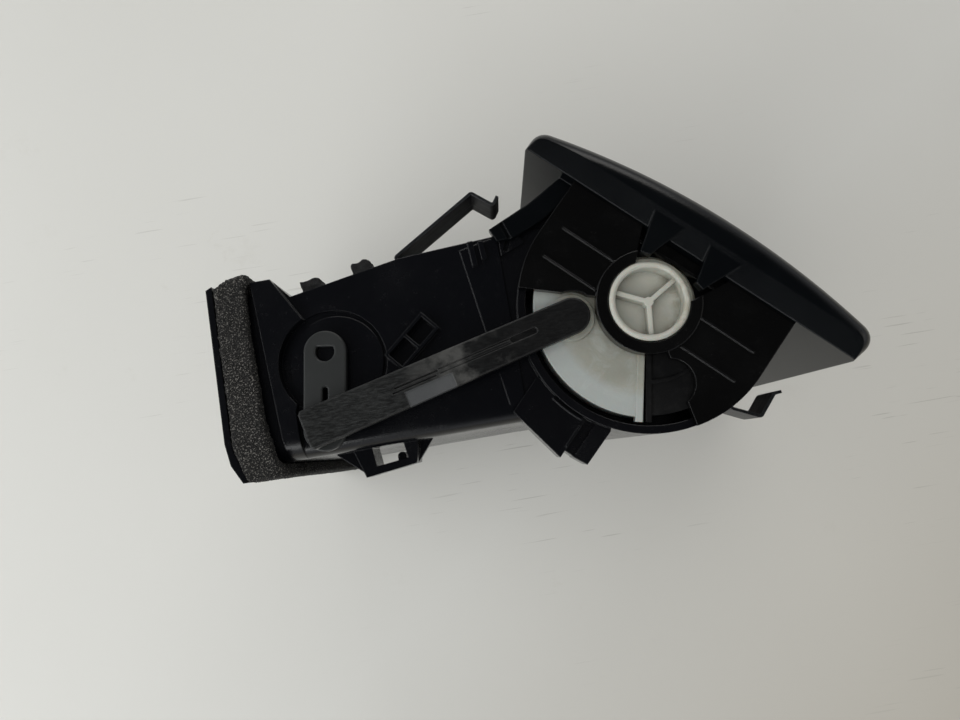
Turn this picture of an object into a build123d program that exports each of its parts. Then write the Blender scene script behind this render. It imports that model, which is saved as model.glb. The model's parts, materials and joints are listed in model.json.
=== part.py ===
from build123d import *
import os
from math import cos, radians, sin

# Car dashboard air vent: a rear duct with a shut-off flap, and an angled outlet head whose
# thumbwheel works the flap through a link rod on the near side.
# Millimetres. Origin at the centre of the duct's inlet; +X runs downstream along the duct,
# +Z runs out of the linkage side, parallel to the thumbwheel's axis.

os.makedirs("parts", exist_ok=True)

# ---------------------------------------------------------------- driving dimensions
DUCT_HALF_WIDTH = 50.0          # across the duct, along Z
WALL = 2.0                      # moulded wall thickness
INLET_HALF_HEIGHT = 21.5        # along Y
DUCT_END_X = 75.0               # joint between the duct and the head's neck
DUCT_FLOOR_Y = -21.7
DUCT_ROOF = [(20.2, 19.8), (49.6, 24.9), (DUCT_END_X, 26.3)]

WHEEL_X, WHEEL_Y = 108.5, 1.5   # thumbwheel axis
FACE_ANGLE = 45.7               # outlet direction, degrees from +X towards +Y
DRUM_R = 32.0                   # outer radius of the head around the wheel axis
FACE_BACK = 15.5                # back plane of the bezel, along the outlet direction
AIR_NEAR, AIR_FAR = 41.0, -48.0  # air passage inside the head, along Z
DRUM_TOP = 53.6                 # rim of the wheel compartment
COVER_TOP = 56.0
BEZEL_NEAR, BEZEL_FAR = 60.0, -55.0

WHEEL_R = 28.0
GRIP_R = 29.6                   # the grip stands out of the bezel's slot
HUB_R = 9.8
FLANGE_R = 12.2
WHEEL_TOP = 53.0
WEB = 2.5                       # thickness of the wheel's web
CRANK_R = 19.0                  # crank pin from the wheel axis
CRANK_ANGLE = 180.5             # crank pin direction at rest
ROD_BOTTOM, ROD_TOP = 54.2, 57.2
ROD_LENGTH = 66.1               # pin to pin
ROD_ANGLE = 193.4               # from the crank pin towards the lever pin, at rest
ROD_WIDTH = 9.0
ROD_SKIN = 0.7                  # left over the blind hole of the crank pin

FLAP_X, FLAP_Y = 27.7, 3.6      # flap shaft axis
LEVER_R = 18.0                  # lever pin from the shaft axis
LEVER_ANGLE = -98.0
FLAP_SLOPE = -45.0              # closed flap, degrees from +X

FRONT_COUNT, FRONT_PITCH = 5, 12.0      # vanes lying along Z
REAR_COUNT, REAR_PITCH = 7, 12.0        # vanes lying across the outlet
FRONT_AXIS = 12.0               # pivot line of the front vanes, along the outlet direction
REAR_AXIS = -9.5                # pivot line of the rear vanes
MIDDLE_Z = (AIR_NEAR + AIR_FAR) / 2

PIN_FIT = 0.06                  # radial clearance of a pin that turns in its hole
GAP = 0.3                       # clearance between moving bodies

# ---------------------------------------------------------------- frames and helpers
ACROSS = (cos(radians(FACE_ANGLE - 90)), sin(radians(FACE_ANGLE - 90)), 0)
OUTWARD = (cos(radians(FACE_ANGLE)), sin(radians(FACE_ANGLE)), 0)


def head_plane(z=0.0):
    """Plane at height z over the wheel axis: x across the outlet, y out of the outlet."""
    return Plane(origin=(WHEEL_X, WHEEL_Y, z), x_dir=ACROSS, z_dir=(0, 0, 1))


def outlet_plane(distance):
    """Plane square to the outlet direction: x against ACROSS, y along +Z."""
    origin = (WHEEL_X + distance * OUTWARD[0], WHEEL_Y + distance * OUTWARD[1], 0)
    return Plane(origin=origin, x_dir=(-ACROSS[0], -ACROSS[1], 0), z_dir=OUTWARD)


def across_plane(distance):
    """Plane square to ACROSS: x along +Z, y against the outlet direction."""
    origin = (WHEEL_X + distance * ACROSS[0], WHEEL_Y + distance * ACROSS[1], 0)
    return Plane(origin=origin, x_dir=(0, 0, 1), z_dir=ACROSS)


def polar(radius, angle):
    return (radius * cos(radians(angle)), radius * sin(radians(angle)))


def head_angle(row_angle):
    """Angle in the head's own plane of a direction given from +X."""
    return row_angle + 90 - FACE_ANGLE


def ring_segment(inner, outer, start, end):
    """Flat ring segment between two radii and two angles."""
    middle = (start + end) / 2
    with BuildSketch() as segment:
        with BuildLine():
            ThreePointArc(polar(outer, start), polar(outer, middle), polar(outer, end))
            Line(polar(outer, end), polar(inner, end))
            ThreePointArc(polar(inner, end), polar(inner, middle), polar(inner, start))
            Line(polar(inner, start), polar(outer, start))
        make_face()
    return segment.sketch


def drum_outline(radius, front):
    """The head's plan: a half circle round the wheel axis with straight sides to the face."""
    with BuildSketch() as outline:
        Circle(radius)
        Rectangle(2 * radius, radius, align=(Align.CENTER, Align.MIN), mode=Mode.SUBTRACT)
        Rectangle(2 * radius, front, align=(Align.CENTER, Align.MIN))
    return outline.sketch


def save(piece, name):
    piece.part.label = name
    export_step(piece.part, f"parts/{name}.step")


# ---------------------------------------------------------------- rear duct
ROOF_START, ROOF_BEND, ROOF_END = DUCT_ROOF
SHOULDER_Y = 24.6               # raised shoulder behind the inlet foam
SHOULDER_X = (11.0, 16.2)
PAN_X, PAN_Y, PAN_R = 28.9, 0.9, 13.5   # round recess that the lever swings over
PAN_GROOVE, PAN_GROOVE_DEPTH = 1.6, 1.0     # groove round it, narrower upstream
PAN_GROOVE_SHIFT = 0.8
PLATEAU = 2.2                   # height of the raised panel beside the foam
BUSH_R = 4.6
LOWER_ROUND = 4.5               # large rounding of the duct's lower near edge
FAR_ROUND = 3.0
PANEL_DEPTH = 8.0
PANEL_PROFILE = [(14.4, DUCT_FLOOR_Y), (SHOULDER_X[0], SHOULDER_Y), (SHOULDER_X[1], SHOULDER_Y),
                 (23.1, 12.8), (PAN_X - 7, PAN_Y), (18.3, -10), (18.3, DUCT_FLOOR_Y)]
SLEEVE_SINK, SLEEVE_RISE = 1.0, 0.3
SLEEVE = [(65.0, 24.0), (67.7, 5.3), (71.0, -17.0), (DUCT_END_X, -17.0), (DUCT_END_X, 26.0)]
CATCH = Location((49.5, 2.6), 40.4)     # open-topped pocket beside the recess
CATCH_SIZE = (14.2, 6.1)
CATCH_WALL = 0.8
CATCH_HEIGHT = 2.4
CATCH_FLOOR = 1.4               # how deep the pocket goes into the duct's wall
SNAP_LUGS = [(68.2, 22.4, 6.5), (70.8, 22.8, 5.0)]      # x, y and length, by the joint
LUG, LUG_TURN = 1.4, 4          # their width and height, and their lean
BRACKET = [(29.4, DUCT_FLOOR_Y + 0.5), (32.0, -28.9), (45.2, -27.3), (46.2, -23.5),
           (46.2, DUCT_FLOOR_Y + 0.5)]
BRACKET_WINDOW = [(34.4, DUCT_FLOOR_Y), (35.0, -26.5), (43.2, -25.6), (42.6, DUCT_FLOOR_Y)]
BRACKET_Z = (33.0, 45.0)
BRACKET_WEBS = [[(23.6, DUCT_FLOOR_Y + 0.4), (32.0, -28.6), (32.0, DUCT_FLOOR_Y + 0.4)],
                [(45.4, DUCT_FLOOR_Y + 0.4), (45.2, -27.2), (50.2, DUCT_FLOOR_Y + 0.4)]]
WEB_START, BRACKET_WEB = 5.0, 2.4       # from the bracket's far side, and thickness
NIB, NIB_R, NIB_NECK = (41.2, -24.9), 1.1, 1.6
NIB_START, NIB_DEPTH = 3.0, 5.0
LIP = 3.2                       # how far the inlet's lip stands out
LIP_PROFILE = [(0, 24.2), (1.6, 24.9), (1.6, -16.0), (4.6, -25.2), (3.4, -25.2), (0.9, -20.5),
               (0, -15.0)]

# raised panel between the foam and the recess, rounded over at the floor
with BuildPart() as panel:
    with BuildSketch(Plane.XY.offset(DUCT_HALF_WIDTH - PANEL_DEPTH)):
        Polygon(*PANEL_PROFILE, align=None)
    extrude(amount=PANEL_DEPTH + PLATEAU)
    fillet(panel.edges().group_by(Axis.Z)[-1].sort_by(Axis.Y)[0], radius=LOWER_ROUND + PLATEAU)

with BuildPart() as duct_body:
    with BuildSketch(Plane.XY.offset(-DUCT_HALF_WIDTH)):
        with BuildLine():
            Polyline((0, DUCT_FLOOR_Y), (DUCT_END_X, DUCT_FLOOR_Y), ROOF_END, ROOF_BEND,
                     ROOF_START, (SHOULDER_X[1], SHOULDER_Y), (SHOULDER_X[0], SHOULDER_Y),
                     (SHOULDER_X[0], INLET_HALF_HEIGHT), (0, INLET_HALF_HEIGHT), close=True)
        make_face()
    extrude(amount=2 * DUCT_HALF_WIDTH)
    long_edges = duct_body.edges().filter_by(Axis.X).group_by(Axis.Z)
    fillet(long_edges[-1].sort_by(Axis.Y)[0], radius=LOWER_ROUND)
    fillet(duct_body.edges().filter_by(Axis.X).group_by(Axis.Z)[0].sort_by(Axis.Y)[0],
           radius=FAR_ROUND)
    add(panel.part)
    # sleeve where the wall overlaps the head's neck
    with BuildSketch(Plane.XY.offset(DUCT_HALF_WIDTH - SLEEVE_SINK)):
        Polygon(*SLEEVE, align=None)
    extrude(amount=SLEEVE_SINK + SLEEVE_RISE)
    # lip round the inlet that holds the foam in place
    with BuildSketch(Plane.XY.offset(-DUCT_HALF_WIDTH - LIP)):
        Polygon(*LIP_PROFILE, align=None)
    extrude(amount=2 * (DUCT_HALF_WIDTH + LIP))
    # round recess with a groove at its edge
    with BuildSketch(Plane.XY.offset(DUCT_HALF_WIDTH)):
        with Locations((PAN_X, PAN_Y)):
            Circle(PAN_R)
    extrude(amount=PLATEAU + 1, mode=Mode.SUBTRACT)
    with BuildSketch(Plane.XY.offset(DUCT_HALF_WIDTH - PAN_GROOVE_DEPTH)):
        with Locations((PAN_X, PAN_Y)):
            Circle(PAN_R)
        with Locations((PAN_X + PAN_GROOVE_SHIFT, PAN_Y)):
            Circle(PAN_R - PAN_GROOVE, mode=Mode.SUBTRACT)
    extrude(amount=2 * PAN_GROOVE_DEPTH, mode=Mode.SUBTRACT)
    # catch under the rod
    with BuildSketch(Plane.XY.offset(DUCT_HALF_WIDTH - CATCH_FLOOR)):
        with Locations(CATCH):
            Rectangle(*CATCH_SIZE)
    extrude(amount=CATCH_FLOOR + CATCH_HEIGHT)
    with BuildSketch(Plane.XY.offset(DUCT_HALF_WIDTH - CATCH_FLOOR)):
        with Locations(CATCH):
            Rectangle(*[side - 2 * CATCH_WALL for side in CATCH_SIZE])
            Rectangle(CATCH_WALL, CATCH_SIZE[1], mode=Mode.SUBTRACT)
    extrude(amount=CATCH_FLOOR + CATCH_HEIGHT, mode=Mode.SUBTRACT)
    # snap lugs by the joint with the head
    with BuildSketch(Plane.XY.offset(DUCT_HALF_WIDTH)):
        for x, y, length in SNAP_LUGS:
            with Locations(Location((x, y), LUG_TURN)):
                Rectangle(LUG, length)
    extrude(amount=LUG)
    # fixing bracket under the floor: a loop that a dashboard peg passes through
    with BuildSketch(Plane.XY.offset(BRACKET_Z[0])):
        Polygon(*BRACKET, align=None)
        Polygon(*BRACKET_WINDOW, align=None, mode=Mode.SUBTRACT)
    extrude(amount=BRACKET_Z[1] - BRACKET_Z[0])
    with BuildSketch(Plane.XY.offset(BRACKET_Z[0] + WEB_START)):
        for corners in BRACKET_WEBS:
            Polygon(*corners, align=None)
    extrude(amount=BRACKET_WEB)
    # nib inside the bracket's window
    with BuildSketch(Plane.XY.offset(BRACKET_Z[0] + NIB_START)):
        with Locations(NIB):
            Circle(NIB_R)
            Rectangle(2 * NIB_R, NIB_NECK, align=(Align.CENTER, Align.MAX))
    extrude(amount=NIB_DEPTH)
    # air passage
    with BuildSketch(Plane.XY.offset(-DUCT_HALF_WIDTH + WALL)):
        with BuildLine():
            Polyline((-1, -INLET_HALF_HEIGHT + WALL), (DUCT_END_X + 1, -INLET_HALF_HEIGHT + WALL),
                     (DUCT_END_X + 1, ROOF_END[1] - WALL), (ROOF_BEND[0], ROOF_BEND[1] - WALL),
                     (ROOF_START[0], ROOF_START[1] - WALL), (-1, ROOF_START[1] - WALL), close=True)
        make_face()
    extrude(amount=2 * (DUCT_HALF_WIDTH - WALL), mode=Mode.SUBTRACT)
    # bearing holes of the flap shaft, right through
    with BuildSketch(Plane.XY.offset(-DUCT_HALF_WIDTH - 1)):
        with Locations((FLAP_X, FLAP_Y)):
            Circle(BUSH_R)
    extrude(amount=2 * DUCT_HALF_WIDTH + 2, mode=Mode.SUBTRACT)
save(duct_body, "duct_body")

# ---------------------------------------------------------------- foam round the inlet
FOAM = 3.6                      # thickness on the side walls
FOAM_ROUND = 2.0
FOAM_REACH = 20.0               # past the foam's downstream edge
FOAM_PROFILE = [(1.7, 24.1), (4.6, 26.2), (10.2, 27.3), (10.9, 25.0), (9.6, 22.5), (9.3, 12.0),
                (10.3, -11.0), (12.0, -20.8), (14.2, -25.2), (4.7, -25.2), (1.7, -16.2)]

with BuildPart() as inlet_foam_seal:
    with BuildSketch(Plane.XY.offset(-DUCT_HALF_WIDTH - FOAM)):
        Polygon(*FOAM_PROFILE, align=None)
    extrude(amount=2 * (DUCT_HALF_WIDTH + FOAM))
    fillet(inlet_foam_seal.edges().filter_by(Axis.Z, reverse=True).group_by(Axis.Y)[-1],
           radius=FOAM_ROUND)
    with BuildSketch(Plane.YZ):
        with Locations(((INLET_HALF_HEIGHT + DUCT_FLOOR_Y) / 2, 0)):
            Rectangle(INLET_HALF_HEIGHT - DUCT_FLOOR_Y, 2 * DUCT_HALF_WIDTH)
    extrude(amount=FOAM_REACH, mode=Mode.SUBTRACT)
save(inlet_foam_seal, "inlet_foam_seal")

# ---------------------------------------------------------------- head housing
NECK_ROOF, NECK_FLOOR = ROOF_END[1], DUCT_FLOOR_Y
WINDOW_ROOF, WINDOW_FLOOR = NECK_ROOF - WALL, -INLET_HALF_HEIGHT + WALL
DECK = AIR_NEAR + WALL          # floor of the wheel compartment
NECK_DEPTH = 14.0               # how far the neck runs before it is inside the drum
WINDOW_END = 100.0              # well inside the drum
STOPS = [(104, 108), (334, 338)]        # from +X
STOP_R = (14.0, 24.0)
STOP_HEIGHT = 5.0
SNAP_SHOULDER = [(-38.4, -3.2), (-31.0, 4.0), (-31.0, 11.5), (-34.6, 6.5), (-37.4, -0.5)]
SNAP_SHOULDER_Z = (38.0, 49.7)
LATCH_BLOCKS = [[(-12.2, -30), (-12.2, -40.6), (3.6, -43.3), (3.6, -30)],
                [(6.2, -30), (6.2, -41.4), (10.0, -41.0), (10.2, -31.0), (9.0, -29)]]
LATCH_SLOT = [(3.0, -30), (3.0, -41.2), (7.0, -41.2), (7.0, -30)]   # filled lower, between them
LATCH_Z = (40.0, 51.5)
LATCH_SINK = 1.8
LATCH_RIB = [(3.0, -34), (3.0, -40.4), (3.6, -40.4), (3.6, -34)]
LATCH_LINE = 0.5                # width and height of the raised lines
LATCH_ARC = (-100.7, -85.1)     # raised line beside the drum, in the head's own plane
BOSS_NOTCH, BOSS_NOTCH_SIZE = Location((77.2, 23.3), 70), (3.4, 1.2)
BOSS_SINK, BOSS_RISE = 1.0, 0.9
NECK_CUT = 15.0                 # the blocks stop where the duct begins
SNAP_BOSS = [(DUCT_END_X + 0.3, 20.6), (81.7, 23.0), (80.6, 25.3), (DUCT_END_X + 0.3, 25.0)]

with BuildPart() as head_housing:
    with BuildSketch(head_plane(-DUCT_HALF_WIDTH)):
        add(drum_outline(DRUM_R, FACE_BACK))
    extrude(amount=DRUM_TOP + DUCT_HALF_WIDTH)
    with BuildSketch(Plane.XY.offset(-DUCT_HALF_WIDTH)):
        with BuildLine():
            Polyline((DUCT_END_X, NECK_FLOOR), (DUCT_END_X + NECK_DEPTH, NECK_FLOOR),
                     (DUCT_END_X + NECK_DEPTH, NECK_ROOF), (DUCT_END_X, NECK_ROOF), close=True)
        make_face()
    extrude(amount=2 * DUCT_HALF_WIDTH)
    # shoulder under the bezel's snap arm, and the boss that it snaps over
    with BuildSketch(head_plane(SNAP_SHOULDER_Z[0])):
        Polygon(*SNAP_SHOULDER, align=None)
    extrude(amount=SNAP_SHOULDER_Z[1] - SNAP_SHOULDER_Z[0])
    with BuildSketch(Plane.XY.offset(DUCT_HALF_WIDTH - BOSS_SINK)):
        Polygon(*SNAP_BOSS, align=None)
        with Locations(BOSS_NOTCH):
            Rectangle(*BOSS_NOTCH_SIZE, mode=Mode.SUBTRACT)
    extrude(amount=BOSS_SINK + BOSS_RISE)
    # latch block and tongue behind the drum
    with BuildSketch(head_plane(LATCH_Z[0])):
        for corners in LATCH_BLOCKS:
            Polygon(*corners, align=None)
    extrude(amount=LATCH_Z[1] - LATCH_Z[0])
    with BuildSketch(head_plane(LATCH_Z[0])):
        Polygon(*LATCH_SLOT, align=None)
    extrude(amount=LATCH_Z[1] - LATCH_Z[0] - LATCH_SINK)
    with BuildSketch(head_plane(LATCH_Z[1])):
        Polygon(*LATCH_RIB, align=None)
        add(ring_segment(DRUM_R + LATCH_LINE, DRUM_R + 2 * LATCH_LINE, *LATCH_ARC))
    extrude(amount=LATCH_LINE)
    with BuildSketch(Plane.XY.offset(-DUCT_HALF_WIDTH)):
        Polygon((DUCT_END_X - NECK_CUT, DUCT_FLOOR_Y), (DUCT_END_X, DUCT_FLOOR_Y), (DUCT_END_X, 0),
                (DUCT_END_X - NECK_CUT, 0), align=None)
    extrude(amount=2 * DUCT_HALF_WIDTH, mode=Mode.SUBTRACT)
    # air passage and the window from the duct
    with BuildSketch(head_plane(AIR_FAR)):
        add(drum_outline(DRUM_R - WALL, FACE_BACK + 1))
    extrude(amount=AIR_NEAR - AIR_FAR, mode=Mode.SUBTRACT)
    with BuildSketch(Plane.XY.offset(AIR_FAR)):
        with BuildLine():
            Polyline((DUCT_END_X - 1, WINDOW_FLOOR), (WINDOW_END, WINDOW_FLOOR), (WINDOW_END, WINDOW_ROOF),
                     (DUCT_END_X - 1, WINDOW_ROOF), close=True)
        make_face()
    extrude(amount=AIR_NEAR - AIR_FAR, mode=Mode.SUBTRACT)
    # wheel compartment, open on the near side and at the face
    with BuildSketch(head_plane(DECK)):
        add(drum_outline(DRUM_R - WALL, FACE_BACK + 1))
    extrude(amount=DRUM_TOP, mode=Mode.SUBTRACT)
    # stops that the wheel's end ribs come up against, on the compartment's floor
    with BuildSketch(head_plane(DECK)):
        for start, end in STOPS:
            add(ring_segment(*STOP_R, head_angle(start), head_angle(end)))
    extrude(amount=STOP_HEIGHT)
save(head_housing, "head_housing")

# ---------------------------------------------------------------- side cover
CRANK = polar(CRANK_R, head_angle(CRANK_ANGLE))
CRANK_BOSS_R = 5.8
COLLAR_R = 12.9
COLLAR_TOP = 57.4
HUB_GAP = 0.3
OPENING = (163.3, 280.0)        # where the cover leaves the wheel in view, from +X
OPENING_BULGE = (15.2, -13.6, 6.0)      # rounded widening of that opening: across, out, radius
NOTCH = [(-7.9, 5.9), (-12.3, 17), (14.2, 17), (8.3, 5.6)]     # slot from the hub to the bezel
BRIDGE = (11.5, 12.3)           # rib across that slot, along the outlet direction
BRIDGE_LENGTH = 28.0
BRIDGE_SINK = 0.5
RIB_LINES = (-4.8, 3.8)         # thin ribs beside the hub, along the outlet direction
RIB_ENDS = (12.3, 27.6)         # and across it
RIB_WIDTH, RIB_RISE = 0.5, 0.5
SHOULDER_R, SHOULDER_TOP = 10.9, 55.8   # step round the wheel's hub, inside the collar

with BuildPart() as side_cover:
    with BuildSketch(head_plane(DRUM_TOP)):
        add(drum_outline(DRUM_R, FACE_BACK))
        add(ring_segment(COLLAR_R, DRUM_R + 2, *[head_angle(a) for a in OPENING]),
            mode=Mode.SUBTRACT)
        with Locations(OPENING_BULGE[:2]):
            Circle(OPENING_BULGE[2], mode=Mode.SUBTRACT)
        with Locations(CRANK):
            Circle(CRANK_BOSS_R + 2 * GAP, mode=Mode.SUBTRACT)
    extrude(amount=COVER_TOP - DRUM_TOP)
    with BuildSketch(head_plane(COVER_TOP)):
        for side in (-1, 1):
            for line in RIB_LINES:
                with Locations((side * sum(RIB_ENDS) / 2, line)):
                    Rectangle(RIB_ENDS[1] - RIB_ENDS[0], RIB_WIDTH)
    extrude(amount=RIB_RISE)
    with BuildSketch(head_plane(DRUM_TOP)):
        Circle(COLLAR_R)
    extrude(amount=COLLAR_TOP - DRUM_TOP)
    with BuildSketch(head_plane(DRUM_TOP - 1)):
        Circle(HUB_R + HUB_GAP)
        Polygon(*NOTCH, align=None)
    extrude(amount=COLLAR_TOP, mode=Mode.SUBTRACT)
    # bore over the step of the wheel's hub
    with BuildSketch(head_plane(DRUM_TOP - 1)):
        Circle(SHOULDER_R + HUB_GAP)
    extrude(amount=SHOULDER_TOP + HUB_GAP - DRUM_TOP + 1, mode=Mode.SUBTRACT)
    with BuildSketch(head_plane(DRUM_TOP)):
        with Locations((0, sum(BRIDGE) / 2)):
            Rectangle(BRIDGE_LENGTH, BRIDGE[1] - BRIDGE[0])
    extrude(amount=COVER_TOP - DRUM_TOP - BRIDGE_SINK)
save(side_cover, "side_cover")

# ---------------------------------------------------------------- bezel
BEZEL_LOW, BEZEL_HIGH = 48.4, -46.9     # ends across the outlet
FACE_POINTS = [(BEZEL_HIGH, 21.2), (8, 28.0), (BEZEL_LOW + 1.9, 23.2)]      # bowed front
APERTURE = 30.7
APERTURE_FAR = -46.0
APERTURE_ROUND = 3.0
RIM_ROUND = 5.0
CORNER_ROUND = 4.0
SLOT_Z = (43.6, 53.4)           # slot that the wheel stands through
SLOT_GAP = 0.7
COVE = 5.0                      # slope of the near face, from the cover up to the rim
COVE_Z = 57.0
GUSSETS = [[(-11.4, 19.6), (-8.6, 8.5), (-6.2, 9.2), (-2.6, 19.8)],
           [(4.4, 19.6), (6.7, 9.6), (8.9, 9.0), (13.5, 19.4)]]
GUSSET_TOP = 59.2
SNAP_ARM = [(-43.3, -6.0), (-40.0, -7.3), (-37.0, -4.2), (-33.9, 2.9), (-32.3, 8.7),
            (-32.3, 15.6), (-36.0, 15.6), (-38.9, 5.2)]
SNAP_ARM_TOP = 52.6
SNAP_GROOVE, SNAP_GROOVE_SIZE = Location((-39.2, -4.2), -27), (6.0, 0.9)
SNAP_GROOVE_DEPTH = 0.6

with BuildPart() as bezel:
    with BuildSketch(head_plane(BEZEL_FAR)) as bezel_profile:
        with BuildLine():
            Polyline(FACE_POINTS[-1], (BEZEL_LOW, FACE_BACK), (BEZEL_HIGH, FACE_BACK),
                     FACE_POINTS[0])
            ThreePointArc(*FACE_POINTS)
        make_face()
        fillet(bezel_profile.vertices().sort_by(Axis.Y)[2:], radius=CORNER_ROUND)
    extrude(amount=BEZEL_NEAR - BEZEL_FAR)
    face_edges = [e for e in bezel.edges().group_by(Axis.Z)[-1] + bezel.edges().group_by(Axis.Z)[0]
                  if head_plane().to_local_coords(e.center()).Y > FACE_BACK + 1.5]
    fillet(face_edges, radius=RIM_ROUND)
    # grille opening
    with BuildSketch(outlet_plane(FACE_BACK - 1)):
        with Locations((0, (AIR_NEAR + APERTURE_FAR) / 2)):
            RectangleRounded(2 * APERTURE, AIR_NEAR - APERTURE_FAR, APERTURE_ROUND)
    extrude(amount=20, mode=Mode.SUBTRACT)
    # clearance for the thumbwheel
    with BuildSketch(head_plane(SLOT_Z[0])):
        Circle(GRIP_R + SLOT_GAP)
    extrude(amount=SLOT_Z[1] - SLOT_Z[0], mode=Mode.SUBTRACT)
    # sloping inner part of the near face
    with BuildSketch(across_plane(BEZEL_HIGH - 1)):
        Polygon((COVE_Z, -FACE_BACK + 1), (COVE_Z, -FACE_BACK), (BEZEL_NEAR, -FACE_BACK - COVE),
                (BEZEL_NEAR + 1, -FACE_BACK - COVE), (BEZEL_NEAR + 1, -FACE_BACK + 1), align=None)
    extrude(amount=BEZEL_LOW - BEZEL_HIGH + 5, mode=Mode.SUBTRACT)
    # gussets that hold the side cover down
    with BuildSketch(head_plane(COVER_TOP + 0.1)):
        for corners in GUSSETS:
            Polygon(*corners, align=None)
    extrude(amount=GUSSET_TOP - COVER_TOP - 0.1)
    with BuildSketch(head_plane(DUCT_HALF_WIDTH)):
        Polygon(*SNAP_ARM, align=None)
    extrude(amount=SNAP_ARM_TOP - DUCT_HALF_WIDTH)
    with BuildSketch(head_plane(SNAP_ARM_TOP - SNAP_GROOVE_DEPTH)):
        with Locations(SNAP_GROOVE):
            Rectangle(*SNAP_GROOVE_SIZE)
    extrude(amount=1, mode=Mode.SUBTRACT)
save(bezel, "bezel")

# ---------------------------------------------------------------- spring clips and pads
CLIP = 0.8
CLIP_BEND = 0.7
CLIP_Z = (34.0, 46.0)


def spring_clip(points, plane):
    """Leaf of spring steel bent along a line of points, as wide as CLIP_Z."""
    with BuildPart() as clip:
        with BuildSketch(plane):
            with BuildLine():
                FilletPolyline(*points, radius=CLIP_BEND)
            trace(line_width=CLIP)
        extrude(amount=CLIP_Z[1] - CLIP_Z[0])
    return clip


UPPER_CLIP = [(63, 26.2), (46.2, 25.4), (70.6, 40.3), (75.8, 36.0), (77.3, 38.2)]
CLIP_SEAT = 0.45                # centre line of the lower clip, off the drum
LOWER_CLIP = [(DRUM_R + CLIP_SEAT, 9), (DRUM_R + CLIP_SEAT, 0), (32.2, -8.4), (39.9, -5.8),
              (39.5, 1.0), (40.7, 2.4)]
upper_spring_clip = spring_clip(UPPER_CLIP, Plane.XY.offset(CLIP_Z[0]))
save(upper_spring_clip, "upper_spring_clip")
lower_spring_clip = spring_clip(LOWER_CLIP, head_plane(CLIP_Z[0]))
save(lower_spring_clip, "lower_spring_clip")

PAD_LENGTH = 84.0
PAD_START = -37.0
PAD_WIDTH = 5.4
PAD_HEIGHT = 3.8
PAD_ROUND = 1.2
ROOF_SLOPE = 9.84               # degrees, first stretch of the duct's roof


def rattle_strip(x):
    """Felt strip that lies across the duct's roof."""
    along = (x - ROOF_START[0]) / (ROOF_BEND[0] - ROOF_START[0])
    y = ROOF_START[1] + along * (ROOF_BEND[1] - ROOF_START[1])
    direction = (cos(radians(ROOF_SLOPE)), sin(radians(ROOF_SLOPE)), 0)
    with BuildPart() as strip:
        with BuildSketch(Plane(origin=(x, y, PAD_START), x_dir=direction, z_dir=(0, 0, 1))):
            Rectangle(PAD_WIDTH, PAD_HEIGHT, align=(Align.CENTER, Align.MIN))
        extrude(amount=PAD_LENGTH)
        fillet(strip.edges().filter_by(Axis.Z).group_by(Axis.Y)[-1], radius=PAD_ROUND)
    return strip


for name, x in (("rattle_strip_rear", 25.6), ("rattle_strip_front", 39.3)):
    save(rattle_strip(x), name)

RIVET_R, RIVET_HEAD = 2.2, 1.0
RIVET_Z = sum(CLIP_Z) / 2
UPPER_RIVET = (58.0, 26.5)      # x, and the upper clip's outer face there
LOWER_RIVET = 5.5               # along the outlet direction
with BuildPart() as clip_rivets:
    with BuildSketch(Plane.XZ.offset(-UPPER_RIVET[1])):
        with Locations((UPPER_RIVET[0], RIVET_Z)):
            Circle(RIVET_R)
    extrude(amount=-RIVET_HEAD)
    with BuildSketch(across_plane(DRUM_R + CLIP_SEAT + CLIP / 2)):
        with Locations((RIVET_Z, -LOWER_RIVET)):
            Circle(RIVET_R)
    extrude(amount=RIVET_HEAD)
save(clip_rivets, "clip_rivets")

# ---------------------------------------------------------------- thumbwheel
SECTOR = (110.0, 257.0)         # white linkage sector, from +X
GRIP = (-66.0, 108.0)           # dark grip sector
SKIRT_BOTTOM = 44.5
HUB_TOP = 58.0
HUB_WALL = 1.5
RIM_CHAMFER = 0.5
SPOKES = (31, 154, 263)
SPOKE_WIDTH, SPOKE_RISE, SPOKE_BOSS_R = 1.15, 3.4, 1.2
WHEEL_LIFT = 0.4                # underside of the hub, above the deck
SKIRT_END = 4                   # degrees, thickness of the skirt's end walls
END_RIB_RISE = 0.3
BORE_R = 3.06
BORE_WALL = 1.6
END_RIB, END_RIB_R = 1.8, 29.2  # rib along the sector's end
CRANK_PIN_R = 1.6

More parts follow.
